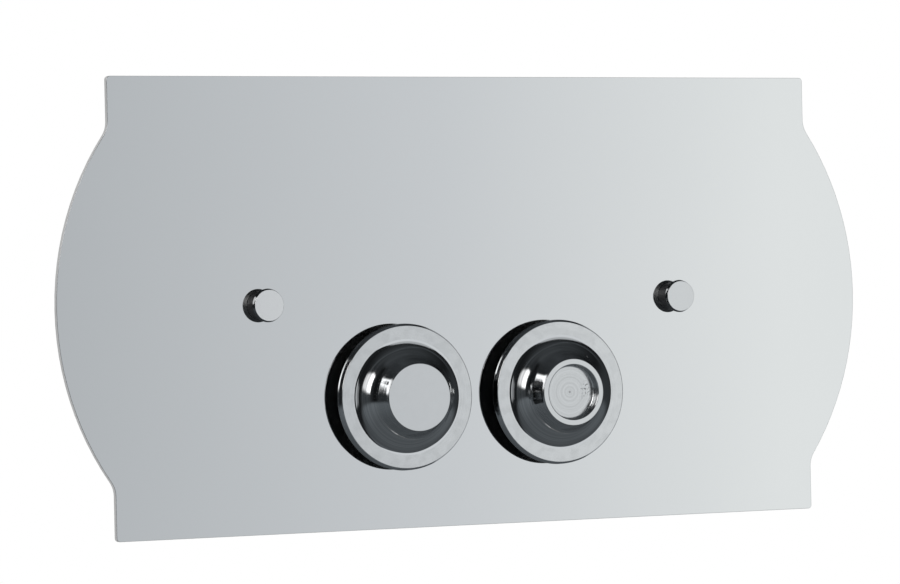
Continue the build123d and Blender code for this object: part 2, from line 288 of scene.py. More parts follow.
# %% Panel and card
PANEL_HALF_WIDTH, PANEL_HALF_HEIGHT, PANEL_SOFT = 7.5, 4.5, 1.0
PANEL_LIGHTENS = (-9.0, 9.0)
CARD_LEFT, CARD_WIDTH = 18.0, 18.0
CARD_TURN, CARD_HALF_WIDTH = 29.0, 12.0
CARD_LIFT, CARD_HALF_HEIGHT = 4.0, 25.0
CARD_EDGE = (0.85, 1.1)
STRIP_HALF_HEIGHT, STRIP_SOFT = 5.5, 1.5
CARD_MIDDLE_TONE, CARD_BRIGHT_TONE = (0.685, 0.71, 0.73, 1.0), (0.895, 0.92, 0.915, 1.0)

panel = turn.band(-PANEL_HALF_WIDTH, PANEL_HALF_WIDTH, PANEL_SOFT)
panel = panel * lift.band(-PANEL_HALF_HEIGHT, PANEL_HALF_HEIGHT, PANEL_SOFT)
panel_tone = turn.step(*PANEL_LIGHTENS).between((0.30, 0.31, 0.32, 1.0), (0.47, 0.485, 0.495, 1.0))
room = panel.between(room, panel_tone)

card_tone = turn.node("ShaderNodeValToRGB", {"stops": [
    (0.00, (0.52, 0.545, 0.565, 1.0)),
    (0.40, CARD_MIDDLE_TONE),
    (0.72, CARD_BRIGHT_TONE),
    (0.80, CARD_BRIGHT_TONE),
    (1.00, (0.69, 0.71, 0.72, 1.0)),
]}, {0: (turn - CARD_LEFT) / CARD_WIDTH})
strip = lift.band(-STRIP_HALF_HEIGHT, STRIP_HALF_HEIGHT, STRIP_SOFT)
card_tone = strip.between(CARD_MIDDLE_TONE, card_tone)
across = (turn - CARD_TURN) / CARD_HALF_WIDTH
upward = (lift - CARD_LIFT) / CARD_HALF_HEIGHT
card = 1 - (across * across * across * across + upward * upward * upward * upward).step(*CARD_EDGE)
room = card.between(room, card_tone)
print("a card", 2 * CARD_HALF_WIDTH, "degrees wide, and a panel of", 2 * PANEL_HALF_WIDTH)

# %% Window
WINDOW_LEFT, WINDOW_RIGHT, WINDOW_SOFT = -64.0, -20.0, 1.0
WINDOW_FOOT, WINDOW_HEAD = (4.0, 11.0), (35.0, 41.0)
SLANT_FROM, SLANT = -46.0, 0.58

window_tone = turn.node("ShaderNodeValToRGB", {"stops": [
    (0.00, grey(3.20)),
    (0.30, grey(3.00)),
    (0.60, grey(1.25)),
    (0.80, grey(1.40)),
    (1.00, grey(0.72)),
]}, {0: (turn - WINDOW_LEFT) / (WINDOW_RIGHT - WINDOW_LEFT)})
slanted = lift + turn.maths("MAXIMUM", turn - SLANT_FROM, 0.0) * SLANT
window = turn.band(WINDOW_LEFT, WINDOW_RIGHT, WINDOW_SOFT)
window = window * lift.step(*WINDOW_FOOT) * (1 - slanted.step(*WINDOW_HEAD))
room = window.between(room, window_tone)
print("a window", WINDOW_RIGHT - WINDOW_LEFT, "degrees wide")

# %% Pale half behind
BACK_LIGHTENS = (-45.0, 35.0)
BACK_LINE, BACK_LINE_SOFT, BACK_LINE_SHARE = 5.0, 4.0, 0.7
BACK_CARD, BACK_CARD_SOFT = (-178.0, -138.0), 2.0
BACK_STARTS = (0.20, 0.34)

back_tone = lift.step(*BACK_LIGHTENS).between(grey(0.34), grey(0.98))
back_line = lift.band(-BACK_LINE, BACK_LINE, BACK_LINE_SOFT) * BACK_LINE_SHARE
back_tone = back_line.between(back_tone, grey(0.26))
back_tone = turn.band(*BACK_CARD, BACK_CARD_SOFT).between(back_tone, grey(0.93))
room = heading.axis("Y").step(*BACK_STARTS).between(room, back_tone)

glow = room.node("ShaderNodeEmission", None, {"Color": room, "Strength": 1.0})
glow.node("ShaderNodeOutputMaterial", None, {"Surface": glow})
dome.data.materials.append(dome_finish)
print("dome lit with", len(dome_tree.nodes), "nodes")

# %% World
SURROUND_LIGHT = 0.72
world = bpy.data.worlds.new("white_surround")
world.use_nodes = True
bpy.context.scene.world = world
world_tree = world.node_tree
world_tree.nodes.clear()
camera_ray = Field(world_tree.nodes.new("ShaderNodeLightPath").outputs["Is Camera Ray"])
ray_kinds = camera_ray.socket.node.outputs
seen = camera_ray.maths("MAXIMUM", camera_ray, Field(ray_kinds["Is Glossy Ray"]))
seen = camera_ray.maths("MAXIMUM", seen, Field(ray_kinds["Is Transmission Ray"]))
plain = seen.node("ShaderNodeBackground", None, {"Color": grey(1.0), "Strength": SURROUND_LIGHT})
white = seen.node("ShaderNodeBackground", None, {"Color": grey(1.0), "Strength": 1.0})
surround = seen.node("ShaderNodeMixShader", None, {0: seen, 1: plain, 2: white})
surround.node("ShaderNodeOutputWorld", None, {"Surface": surround})
print("white surround that gives", SURROUND_LIGHT, "of its light")

# %% Lamps
LAMP_SIZE = 1.2
LAMPS = {
    "key_lamp": ((-0.9, -1.5, 1.3), 16.0),
    "back_lamp": ((0.9, 1.4, 0.9), 9.0),
}
for lamp_name, (spot, watts) in LAMPS.items():
    bpy.ops.object.select_all(action="DESELECT")
    bpy.ops.object.light_add(type="AREA", location=spot)
    lamp = bpy.context.object
    lamp.name = lamp_name
    lamp.data.size = LAMP_SIZE
    lamp.data.energy = watts
    lamp.rotation_euler = Vector(spot).to_track_quat("Z", "Y").to_euler()
    lamp.visible_glossy = False
print("lamps", ", ".join(LAMPS))


# %% [markdown]
# ## Finishes
# Every finish reads Object coordinates, so a pattern keeps its true size in metres. A finish starts as a
# Principled shader. Numbers that are the same all over go on its own sockets. A mask picks out a part of a
# piece by its height in front of the plate, or by its distance from the turning axis.

# %% Start a finish
finishes = {}


def start_finish(name):
    """A new finish: its shader, and the place on the surface."""
    made = bpy.data.materials.new(name)
    made.use_nodes = True
    tree = made.node_tree
    finishes[name] = made
    return tree.nodes["Principled BSDF"], Field(tree.nodes.new("ShaderNodeTexCoord").outputs["Object"])


def dress(shader, **values):
    """Sets or links the shader's sockets, with _ for a space."""
    for key, value in values.items():
        socket = shader.inputs[key.replace("_", " ")]
        if isinstance(value, Field):
            value.socket.id_data.links.new(value.socket, socket)
        else:
            socket.default_value = value


def bumped(height, strength, distance):
    """A normal tilted by a height, which counts for so many metres."""
    sockets = {"Strength": strength, "Distance": distance, "Height": height}
    return height.node("ShaderNodeBump", None, sockets)


def front(height):
    """The Y, in metres, of a height in millimetres in front of the plate."""
    return (PLATE_FRONT - height) * MM


def from_axis(place, x, z):
    """Distance from a pair of turning axes that stand x millimetres to the left and right."""
    aside = place.maths("ABSOLUTE", place.axis("X")) - x * MM
    above = place.axis("Z") - z * MM
    return place.maths("SQRT", aside * aside + above * above)


def lines(along, per_metre, detail=2.0):
    """Random lines across one direction."""
    return along.node("ShaderNodeTexNoise", {"noise_dimensions": "1D"},
                      {"W": along * per_metre, "Scale": 1.0, "Detail": detail})


print("the plate's front is at Y", front(0.0), "m")

# %% [markdown]
# ### Chrome
# Polished chrome is nearly a perfect mirror with a cool tint. A plain metal shader looks like a computer
# picture, so the polish varies a little: faint cloudy wiping on the plate, and fine rings on the turned
# pieces where the tool went round. The plate's edge is only ground and its back is dull sheet. The bells
# keep the streaks of turning, and their colour is also darkened as painted shade for the dark room they
# show. The caps' sides are painted darker still, as painted shade, and the left cap's face is painted
# lighter than the right one's, as painted light.

# %% Plate chrome
PLATE_THICKNESS = 2.0
shader, place = start_finish("plate_chrome")
cloud = place.noise(16.0, 3.0)
grain = place.noise(900.0, 2.0)
rolled = lines(place.axis("Z"), 2400.0, 4.0)
depth = place.axis("Y")
edge = depth.step(front(-0.01), front(-0.04))
back = depth.step(front(0.2 - PLATE_THICKNESS), front(0.05 - PLATE_THICKNESS))
polish = cloud.between((0.795, 0.805, 0.812, 1.0), (0.815, 0.822, 0.828, 1.0))
polish = edge.between(polish, (0.55, 0.553, 0.555, 1.0))
dull = (0.6 * rolled + 0.4 * cloud).between((0.50, 0.505, 0.51, 1.0), (0.64, 0.645, 0.65, 1.0))
dress(shader, Metallic=1.0,
      Base_Color=back.between(polish, dull),
      Roughness=0.018 + cloud * 0.012 + grain * 0.008 + edge * 0.42 + back * (rolled * 0.14 - 0.14),
      Normal=bumped(rolled * back, 0.12, 0.0001))
print("plate chrome: a polished front, a ground edge and a dull back")

# %% Places on a button
TOP_RADIUS, TOP_HEIGHT = 11.15, 16.9
RECESS_RADIUS, RECESS_FLOOR = 9.15, 13.9
RING_INNER, RING_OUTER, RING_HEIGHT = 19.2, 23.61, 7.25
RIM_BACK = 5.05

shader, place = start_finish("button_chrome")
radius = from_axis(place, BUTTON_X, BUTTON_Z)
depth = place.axis("Y")
in_recess = 1 - radius.step((RECESS_RADIUS - 0.25) * MM, (RECESS_RADIUS + 0.05) * MM)
recess = in_recess * depth.band(front(RECESS_FLOOR + 0.9), front(RECESS_FLOOR - 0.8), 0.1 * MM)
in_top = 1 - radius.step((TOP_RADIUS - 0.35) * MM, (TOP_RADIUS - 0.05) * MM)
flat_top = in_top * (1 - depth.step(front(TOP_HEIGHT - 0.1), front(TOP_HEIGHT - 0.2)))
above_rim = 1 - depth.step(front(RING_HEIGHT - 0.15), front(RING_HEIGHT - 0.35))
ring_face = above_rim * radius.band(RING_INNER * MM, (RING_OUTER - 0.11) * MM, 0.1 * MM)
foot = above_rim * radius.band((RING_INNER - 0.8) * MM, (RING_OUTER - 0.01) * MM, 0.2 * MM)
# The bell is streaked by turning, and its colour is also painted darker as painted shade.
streaked_and_painted_dark = 1 - foot - flat_top - recess
# Painted shade: behind the rim the button is painted near black, and made rough.
painted_shade_underside = depth.step(front(RIM_BACK + 0.15), front(RIM_BACK - 0.05))
print("masks for the top, the recess, the ring, the bell and the underside")

# %% Button chrome
rings = lines(radius + depth, 1500.0, 3.0)
fine_rings = lines(radius, 5200.0, 2.0)
cloud = place.noise(70.0, 3.0)
worn = place.noise(420.0, 4.0)
smear = place.noise(300.0, 5.0).step(0.40, 0.66)
brushed = ring_face * (0.30 * fine_rings + 0.45 * smear + 0.25 * worn)
turned_floor = recess * (0.05 + rings.step(0.35, 0.65) * 0.45)
polish = cloud.between((0.79, 0.80, 0.808, 1.0), (0.82, 0.827, 0.832, 1.0))
polish = (brushed + flat_top * (0.45 + worn * 0.3) + turned_floor).between(polish, (0.69, 0.698, 0.705, 1.0))
streaks = 0.3 * cloud + 0.7 * rings.step(0.30, 0.70)
# Painted shade: the bell's tone is darker than the rest of the chrome, with turning streaks in it.
bell_tone_with_painted_shade = streaks.between((0.42, 0.426, 0.430, 1.0), (0.60, 0.607, 0.612, 1.0))
polish = streaked_and_painted_dark.between(polish, bell_tone_with_painted_shade)
right_of_centre = (place.axis("X") - BUTTON_X * MM).step(3.0 * MM, 6.0 * MM)
near_level = place.axis("Z").band((BUTTON_Z - 2.0) * MM, (BUTTON_Z + 3.0) * MM, 2.0 * MM)
speck = recess * right_of_centre * near_level * place.noise(1500.0, 2.0).step(0.57, 0.63)
centre_mark = recess * (1 - radius.step(0.3 * MM, 0.6 * MM))
polish = (speck * 0.8 + centre_mark * 0.4).between(polish, grey(0.10))
dress(shader, Metallic=1.0,
      Base_Color=painted_shade_underside.between(polish, grey(0.03)),
      Roughness=0.02 + cloud * 0.015 + streaked_and_painted_dark * 0.06 + ring_face * (0.06 + fine_rings * 0.10 + worn * 0.05)
      + recess * (0.14 + rings * 0.08) + painted_shade_underside * 0.45,
      Normal=bumped(rings * (0.25 + streaked_and_painted_dark * 1.5 + ring_face * 0.5 + recess * 0.6) + worn * ring_face * 0.3,
                    0.05, 0.0001))
print("button chrome: a brushed ring, a streaked bell and a turned recess")

# %% Cap chrome
CAP_FACE, CAP_WIDEST = 5.3, 4.2
shader, place = start_finish("cap_chrome")
depth = place.axis("Y")
rings = lines(from_axis(place, CAP_X, 0.0), 2200.0, 3.0)
side_lines = lines(depth, 2600.0, 2.0)
cap_face = 1 - depth.step(front(CAP_FACE - 0.02), front(CAP_FACE - 0.08))
taper = depth.step(front(CAP_WIDEST + 0.1), front(CAP_WIDEST - 0.1))
right_hand = place.axis("X").step(-10.0 * MM, 10.0 * MM)
# Painted light: the left cap's face is painted lighter than the right cap's face.
face_tone_with_painted_light = right_hand.between(grey(0.97), (0.76, 0.77, 0.78, 1.0))
face_tone_with_painted_light = (rings * 0.12).between(face_tone_with_painted_light, grey(0.60))
# Painted shade: the side is painted dark, and the taper towards the plate darker still.
side_painted_shade_tone = taper.between((0.20, 0.203, 0.206, 1.0), grey(0.16))
dress(shader, Metallic=1.0,
      Base_Color=cap_face.between(side_painted_shade_tone, face_tone_with_painted_light),
      Roughness=0.04 + rings * 0.04 + cap_face * 0.08 + side_lines * 0.05 + taper * 0.38,
      Normal=bumped(rings * cap_face + side_lines * (1 - cap_face), 0.08, 0.0001))
print("cap chrome: a bright face and a dark side")

# %% [markdown]
# ### Brass, steel and zinc
# The pieces behind the plate are left as the lathe or the wire mill made them. Brass shows turning lines
# along its length and a little tarnish, and the flange under a button is painted nearly black as painted
# shade. Spring wire shows drawing marks, and zinc plating has a cold, slightly clouded shine.

# %% Turned brass
shader, place = start_finish("turned_brass")
cuts = lines(place.axis("Y"), 5200.0, 3.0)
tarnish = place.noise(140.0, 4.0).step(0.42, 0.68)
# Painted shade: the brass in front of the plate, under the button, is painted nearly black.
painted_dark_for_shade = 1 - place.axis("Y").step(front(0.1), front(-0.3))
bare = tarnish.between((0.80, 0.60, 0.30, 1.0), (0.62, 0.42, 0.19, 1.0))
dress(shader, Metallic=1.0,
      Base_Color=painted_dark_for_shade.between(bare, (0.030, 0.026, 0.020, 1.0)),
      Roughness=0.20 + cuts * 0.12 + tarnish * 0.10,
      Normal=bumped(cuts, 0.25, 0.00008))
print("turned brass, greased in front of the plate")

# %% Spring wire
shader, place = start_finish("spring_steel")
drawing_marks = place.noise(2600.0, 3.0)
stain = place.noise(220.0, 3.0)
dress(shader, Metallic=1.0,
      Base_Color=stain.between((0.50, 0.505, 0.51, 1.0), (0.62, 0.62, 0.615, 1.0)),
      Roughness=0.22 + drawing_marks * 0.16,
      Normal=bumped(drawing_marks, 0.15, 0.00005))
print("spring wire with drawing marks")

# %% Zinc plating
shader, place = start_finish("zinc_steel")
bloom = place.noise(240.0, 4.0)
pitting = place.noise(1700.0, 2.0)
dress(shader, Metallic=1.0,
      Base_Color=bloom.step(0.35, 0.68).between((0.64, 0.67, 0.71, 1.0), (0.72, 0.705, 0.64, 1.0)),
      Roughness=0.24 + bloom * 0.16 + pitting * 0.06,
      Normal=bumped(pitting, 0.12, 0.00005))
print("zinc plating with a slight bloom")

# %% [markdown]
# ### Nylon, fibre, foam and rubber
# These aren't metal, so colour does most of the work: black nylon, red fibre with pressed flecks, dark
# foam full of closed cells, and moulded rubber with a fine matt skin.

# %% Nylon and fibre
shader, place = start_finish("nylon_black")
flow = place.noise(700.0, 3.0)
dress(shader, Base_Color=flow.between((0.012, 0.012, 0.013, 1.0), (0.030, 0.030, 0.032, 1.0)),
      Roughness=0.38 + flow * 0.14, Normal=bumped(flow, 0.08, 0.00005))

shader, place = start_finish("red_fibre")
fleck = place.noise(1500.0, 5.0)
pressed = place.noise(260.0, 3.0)
fibre_tone = fleck.step(0.35, 0.7).between((0.23, 0.035, 0.025, 1.0), (0.42, 0.085, 0.055, 1.0))
dress(shader, Base_Color=fibre_tone, Roughness=0.62 + pressed * 0.2, Normal=bumped(fleck, 0.35, 0.00008))
print("black nylon and red fibre")

# %% Foam and rubber
shader, place = start_finish("seal_foam")
cell = place.node("ShaderNodeTexVoronoi", {"feature": "F1"}, {"Vector": place, "Scale": 1500.0})
open_cell = cell.step(0.12, 0.55)
dress(shader, Base_Color=open_cell.between((0.018, 0.018, 0.019, 1.0), (0.060, 0.060, 0.062, 1.0)),
      Roughness=0.86 + open_cell * 0.1, Normal=bumped(open_cell, 0.6, 0.00025))

shader, place = start_finish("tip_rubber")
skin = place.noise(2200.0, 3.0)
dust = place.noise(180.0, 3.0)
dress(shader, Base_Color=dust.between((0.022, 0.022, 0.023, 1.0), (0.048, 0.047, 0.046, 1.0)),
      Roughness=0.55 + skin * 0.2, Normal=bumped(skin, 0.2, 0.00006))
print(len(finishes), "finishes in all")

# %% [markdown]
# ## CAD nodes
# The plate, the seal, the washers, nuts, stems, clips and rod tips keep their CAD shapes, which are already
# true. They only need a finish, and the record says which one each node wears.

# %% Dress the CAD nodes
for subpart in record["subparts"]:
    slots = nodes[subpart["node"]].data.materials
    slots.clear()
    slots.append(finishes[subpart["material_slot"]])
print(len(record["subparts"]), "nodes have their finish")


# %% [markdown]
# ## Turned pieces
# A lathe gives a button its shape: one outline, cut all the way round. Stacked cylinders could stand in for
# it, but the bell's cove would show steps. So half of the outline is drawn point by point, by extruding one
# vertex, and Spin carries it round the button's axis. Heights are in front of the plate.

# %% Draw an outline
def arc(centre, radius, first, last, steps):
    """Points of an arc from one angle to another, in degrees."""
    angles = [math.radians(first + (last - first) * k / steps) for k in range(steps + 1)]
    return [(centre[0] + radius * math.cos(a), centre[1] + radius * math.sin(a)) for a in angles]


def rounded(corners, steps=8):
    """Corners of (radius, height) or (radius, height, rounding), with each rounding drawn as an arc."""
    outline = []
    for i, corner in enumerate(corners):
        here = Vector(corner[:2])
        if len(corner) == 2:
            outline.append(tuple(here))
            continue
        back = (Vector(corners[i - 1][:2]) - here).normalized()
        ahead = (Vector(corners[i + 1][:2]) - here).normalized()
        half = back.angle(ahead) / 2
        centre = here + (back + ahead).normalized() * corner[2] / math.sin(half)
        leave = here + back * corner[2] / math.tan(half) - centre
        join = here + ahead * corner[2] / math.tan(half) - centre
        first = math.degrees(math.atan2(leave.y, leave.x))
        sweep = (math.degrees(math.atan2(join.y, join.x)) - first + 180.0) % 360.0 - 180.0
        outline += arc(centre, corner[2], first, first + sweep, steps)
    return outline


print("a square corner rounded by 1 mm has", len(rounded([(0, 0), (5, 0, 1), (5, 5)])), "points")

# %% Spin an outline
MERGE = 0.002 * MM
BUTTON_STEPS = 192


def start_alone():
    """Object mode, with nothing selected."""
    if bpy.context.mode != "OBJECT":
        bpy.ops.object.mode_set(mode="OBJECT")
    bpy.ops.object.select_all(action="DESELECT")


def pick(piece):
    """Selects one piece alone and makes it active."""
    start_alone()
    piece.select_set(True)
    bpy.context.view_layer.objects.active = piece


def drawn(name, points):
    """A wire through these points, in edit mode."""
    start_alone()
    bpy.ops.mesh.primitive_plane_add(size=MM)
    piece = bpy.context.object
    piece.name = name
    piece.data.name = name
    bpy.ops.object.mode_set(mode="EDIT")
    bpy.ops.mesh.select_mode(type="VERT")
    bpy.ops.mesh.select_all(action="SELECT")
    bpy.ops.mesh.merge(type="CENTER")
    bpy.ops.transform.translate(value=points[0])
    for before, after in zip(points, points[1:]):
        bpy.ops.mesh.extrude_region_move(TRANSFORM_OT_translate={"value": after - before})
    bpy.ops.mesh.select_all(action="SELECT")
    return piece


def closed():
    """Merges what meets, turns the faces outwards and leaves edit mode."""
    bpy.ops.mesh.select_all(action="SELECT")
    bpy.ops.mesh.remove_doubles(threshold=MERGE)
    bpy.ops.mesh.normals_make_consistent(inside=False)
    bpy.ops.object.mode_set(mode="OBJECT")


def turned(name, outline, x=0.0, z=0.0, steps=BUTTON_STEPS):
    """Spins an outline of (radius, height) round the axis at x and z, all in millimetres."""
    points = [Vector((x + r, PLATE_FRONT - h, z)) * MM for r, h in outline]
    piece = drawn(name, points)
    bpy.ops.mesh.spin(steps=steps, angle=2 * math.pi, center=(x * MM, 0.0, z * MM), axis=(0.0, 1.0, 0.0))
    closed()
    return piece


print("flats on a button's rim are", round(2 * math.pi * RING_OUTER / BUTTON_STEPS, 2), "mm long")


# %% Smooth, copy and fit a piece
def smoothed(piece, angle=28.0):
    """Smooth shading that keeps real corners, and flat faces that stay flat beside small roundings."""
    pick(piece)
    bpy.ops.object.shade_smooth_by_angle(angle=math.radians(angle), keep_sharp_edges=True)
    bpy.ops.object.modifier_add(type="WEIGHTED_NORMAL")
    piece.modifiers[-1].keep_sharp = True
    bpy.ops.object.modifier_apply(modifier=piece.modifiers[-1].name)


def moved(piece, x, z):
    """Moves a piece in the plate's plane, and puts its new place in its mesh."""
    pick(piece)
    bpy.ops.transform.translate(value=(x * MM, 0.0, z * MM))
    bpy.ops.object.transform_apply(location=True, rotation=True, scale=True)


def copied(piece, name, shift):
    """A copy with its own mesh, moved along x by shift millimetres."""
    pick(piece)
    bpy.ops.object.duplicate(linked=False)
    twin = bpy.context.object
    twin.name = name
    twin.data.name = name
    moved(twin, shift, 0.0)
    return twin


def paired(piece, x, z, angle):
    """Moves a piece from the Y axis to its own axis on the left, and copies it to the right."""
    moved(piece, -x, z)
    smoothed(piece, angle)
    right_name = piece.name.replace("full_flush", "half_flush").replace("left", "right")
    return piece, copied(piece, right_name, 2 * x)


def fitted(piece, slot, body, node_name):
    """Gives a piece its finish and its body, and lets it stand for a CAD node."""
    piece.data.materials.clear()
    piece.data.materials.append(finishes[slot])
    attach(piece, body)
    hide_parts(node_name)


# %% [markdown]
# ### Buttons
# From the plate outwards, a button has a rim with a steep bevel, a flat ring, a bell that rises from a
# slight crease in a cove and a steep neck, and a small flat top. The right one has a shallow thumb recess
# in that top. Behind, it is bored for the spring and the bush. The crease at the foot of the bell is only a
# few degrees, so it is marked sharp, or smooth shading would hide it.

# %% Bell outline
FOOT_SLOPE, NECK_SLOPE = 5.0, 69.0
COVE, NECK = 7.6, 3.4
COVE_STEPS, CROWN_STEPS = 36, 8

lean = math.radians(FOOT_SLOPE)
cove_centre = (RING_INNER + COVE * math.sin(lean), RING_HEIGHT + COVE * math.cos(lean))
foot_angle, neck_angle = 270.0 - FOOT_SLOPE, 270.0 - NECK_SLOPE
bell = arc(cove_centre, COVE, foot_angle, neck_angle, COVE_STEPS)
slope = math.radians(NECK_SLOPE)
neck_end = Vector(bell[-1]) + NECK * Vector((-math.cos(slope), math.sin(slope)))
chord = Vector((TOP_RADIUS, TOP_HEIGHT)) - neck_end
crown_bend = 2 * (math.atan2(chord.y, -chord.x) - slope)
crown_radius = chord.length / (2 * math.sin(crown_bend / 2))
crown_centre = neck_end + crown_radius * Vector((math.sin(slope), math.cos(slope)))
bell += [tuple(neck_end.lerp(Vector(bell[-1]), share)) for share in (0.67, 0.33)]
top_angle = neck_angle - math.degrees(crown_bend)
bell += arc(crown_centre, crown_radius, neck_angle, top_angle, CROWN_STEPS)[:-1]
print("bell of", len(bell), "points, crown radius", round(crown_radius, 2), "mm")

# %% Button outlines
TOP_ROUNDING, RING_ROUNDING = 0.15, 0.3
RECESS_ROUNDING, LIP_ROUNDING = 0.8, 0.35
BEVEL_FOOT, RIM_EDGE = (24.22, 5.9, 0.12), (24.4, RIM_BACK, 0.2)
BUSH_ROOM, BUSH_ROOM_FLOOR = 15.2, 6.4
POCKET_OUTER, POCKET_INNER, POCKET_FLOOR = 9.5, 6.5, 11.0
BOSS_END, STEM_BORE = 6.0, 4.0

rim = [(RING_OUTER, RING_HEIGHT, RING_ROUNDING), BEVEL_FOOT, RIM_EDGE]
outside = [(TOP_RADIUS, TOP_HEIGHT, TOP_ROUNDING)] + bell[::-1] + rim
inside = [
    (BUSH_ROOM, RIM_BACK), (BUSH_ROOM, BUSH_ROOM_FLOOR), (POCKET_OUTER, BUSH_ROOM_FLOOR),
    (POCKET_OUTER, POCKET_FLOOR), (POCKET_INNER, POCKET_FLOOR), (POCKET_INNER, BOSS_END),
    (STEM_BORE, BOSS_END), (STEM_BORE, POCKET_FLOOR), (0.0, POCKET_FLOOR),
]
plain_top = [(0.0, TOP_HEIGHT)]
thumb_recess = [
    (0.0, RECESS_FLOOR), (RECESS_RADIUS, RECESS_FLOOR, RECESS_ROUNDING),
    (RECESS_RADIUS, TOP_HEIGHT, LIP_ROUNDING),
]
print("outside of", len(outside), "corners, inside of", len(inside))

# %% Turn the buttons
for flush, axis_x, top in zip(FLUSHES, (-BUTTON_X, BUTTON_X), (plain_top, thumb_recess)):
    button = turned(f"{flush}_button_turned", rounded(top + outside + inside), axis_x, BUTTON_Z)
    for line in button.data.edges:
        ends = [button.data.vertices[k].co / MM for k in line.vertices]
        reach = [math.hypot(end.x - axis_x, end.z - BUTTON_Z) for end in ends]
        line.use_edge_sharp = all(abs(r - RING_INNER) < 0.01 for r in reach)
    smoothed(button)
    fitted(button, "button_chrome", f"{flush}_plunger", f"{flush}_button")
    print(button.name, len(button.data.polygons), "faces")

# %% [markdown]
# ### Caps
# A cap is a small blind nut. Its head is widest near its face and tapers in towards the plate, so its side
# shows the dark parts of the room, and only a fine edge catches the light. Its side is also painted dark as
# painted shade. Its shank stands in a thick black washer.

# %% Turn the caps
CAP_FACE_RADIUS, CAP_RADIUS = 5.1, 5.5
CAP_FOOT_RADIUS, CAP_FOOT = 4.83, 2.4
SHANK_RADIUS, SHANK_END = 3.6, 0.3
CAP_BORE, CAP_BORE_END = 2.5, 3.9
CAP_ROUNDING = 0.1

cap = turned("fixing_cap_left_turned", rounded([
    (0.0, CAP_FACE), (CAP_FACE_RADIUS, CAP_FACE, CAP_ROUNDING), (CAP_RADIUS, CAP_WIDEST, CAP_ROUNDING),
    (CAP_FOOT_RADIUS, CAP_FOOT, CAP_ROUNDING), (SHANK_RADIUS, CAP_FOOT), (SHANK_RADIUS, SHANK_END),
    (CAP_BORE, SHANK_END), (CAP_BORE, CAP_BORE_END), (0.0, CAP_BORE_END),
]), -CAP_X, 0.0, steps=96)
smoothed(cap)
other_cap = copied(cap, "fixing_cap_right_turned", 2 * CAP_X)
for hand, piece in zip(HANDS, (cap, other_cap)):
    fitted(piece, "cap_chrome", "plate", f"fixing_cap_{hand}")
print("two caps of", len(cap.data.polygons), "faces")

# %% [markdown]
# ## Springs
# A return spring is wound from round wire, with its first and last turn lying close so that it stands
# square. A curve with a bevel would need every point worked out. The Screw modifier winds a circle round
# the axis instead, and three short windings in a row give the close and the open turns. In use the spring
# gets shorter.

# %% Screw, join and weld
def screwed(piece, rise, steps, turns=1, repeats=1):
    """Carries a wire or circle round the Y axis, by rise millimetres each time it is repeated."""
    pick(piece)
    bpy.ops.object.modifier_add(type="SCREW")
    winding = piece.modifiers[-1]
    winding.axis = "Y"
    winding.angle = 2 * math.pi * turns
    winding.screw_offset = rise * MM
    winding.iterations = repeats
    winding.steps = steps
    winding.render_steps = steps
    bpy.ops.object.modifier_apply(modifier=winding.name)


def joined(pieces, name):
    """Several pieces made one, named for the whole."""
    pick(pieces[0])
    for piece in pieces[1:]:
        piece.select_set(True)
    bpy.ops.object.join()
    pieces[0].name = name
    pieces[0].data.name = name
    return pieces[0]


def welded(piece):
    """Merges what meets in a piece, and stays in edit mode with all of it selected."""
    pick(piece)
    bpy.ops.object.mode_set(mode="EDIT")
    bpy.ops.mesh.select_mode(type="VERT")
    bpy.ops.mesh.select_all(action="SELECT")
    bpy.ops.mesh.remove_doubles(threshold=MERGE)


print("points nearer than", MERGE / MM, "mm are merged")

# %% Wind one spring
WIRE_RADIUS, COIL_RADIUS = 0.6, 8.2
SEAT_HEIGHT, SEAT_PLAY = -8.0, 0.05
SPRING_LOW = SEAT_HEIGHT + WIRE_RADIUS + SEAT_PLAY
SPRING_HIGH = POCKET_FLOOR - WIRE_RADIUS - SEAT_PLAY
CLOSE_RISE = 1.25
OPEN_RISE = SPRING_HIGH - SPRING_LOW - 2 * CLOSE_RISE
STEPS_IN_A_TURN = 48
WIRE_CORNERS = 14

windings = []
height = SPRING_LOW
for rise, turns in ((CLOSE_RISE, 1), (OPEN_RISE, 3), (CLOSE_RISE, 1)):
    start_alone()
    start = Vector((COIL_RADIUS, PLATE_FRONT - height, 0.0)) * MM
    bpy.ops.mesh.primitive_circle_add(vertices=WIRE_CORNERS, radius=WIRE_RADIUS * MM, location=start)
    windings.append(bpy.context.object)
    bpy.ops.object.transform_apply(location=True, rotation=True, scale=True)
    screwed(windings[-1], -rise, STEPS_IN_A_TURN * turns, turns)
    height += rise
spring = joined(windings, "full_flush_return_spring_wound")
welded(spring)
bpy.ops.mesh.fill_holes(sides=0)
closed()
print("spring of", len(spring.data.polygons), "faces")

# %% Place the springs
SEAT_Y = PLATE_FRONT - SEAT_HEIGHT
REST_LENGTH = POCKET_FLOOR - SEAT_HEIGHT
TRAVEL = press["range_m"][1] / MM
SPRING_ANGLE = 50.0
shortest = (REST_LENGTH - TRAVEL) / REST_LENGTH
springs = paired(spring, BUTTON_X, BUTTON_Z, SPRING_ANGLE)
for flush, axis_x, piece in zip(FLUSHES, (-BUTTON_X, BUTTON_X), springs):
    fitted(piece, "spring_steel", "plate", f"{flush}_return_spring")
    axis_x * MM
    SEAT_Y * MM
    BUTTON_Z * MM
    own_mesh(piece)
print("springs shorten to", round(shortest, 3), "of their length")

# %% [markdown]
# ## Threads
# The studs, the rods and the guide bushes are all threaded, and from behind the thread is what the eye
# sees first. A bump could fake it, but not along the silhouette. One pitch of the thread is drawn as a
# short wire, with a flat root and a flat crest, and Screw carries it round and up, once for each turn. The
# ends are cut square, and a turned bar with bevelled ends trims the result to length.

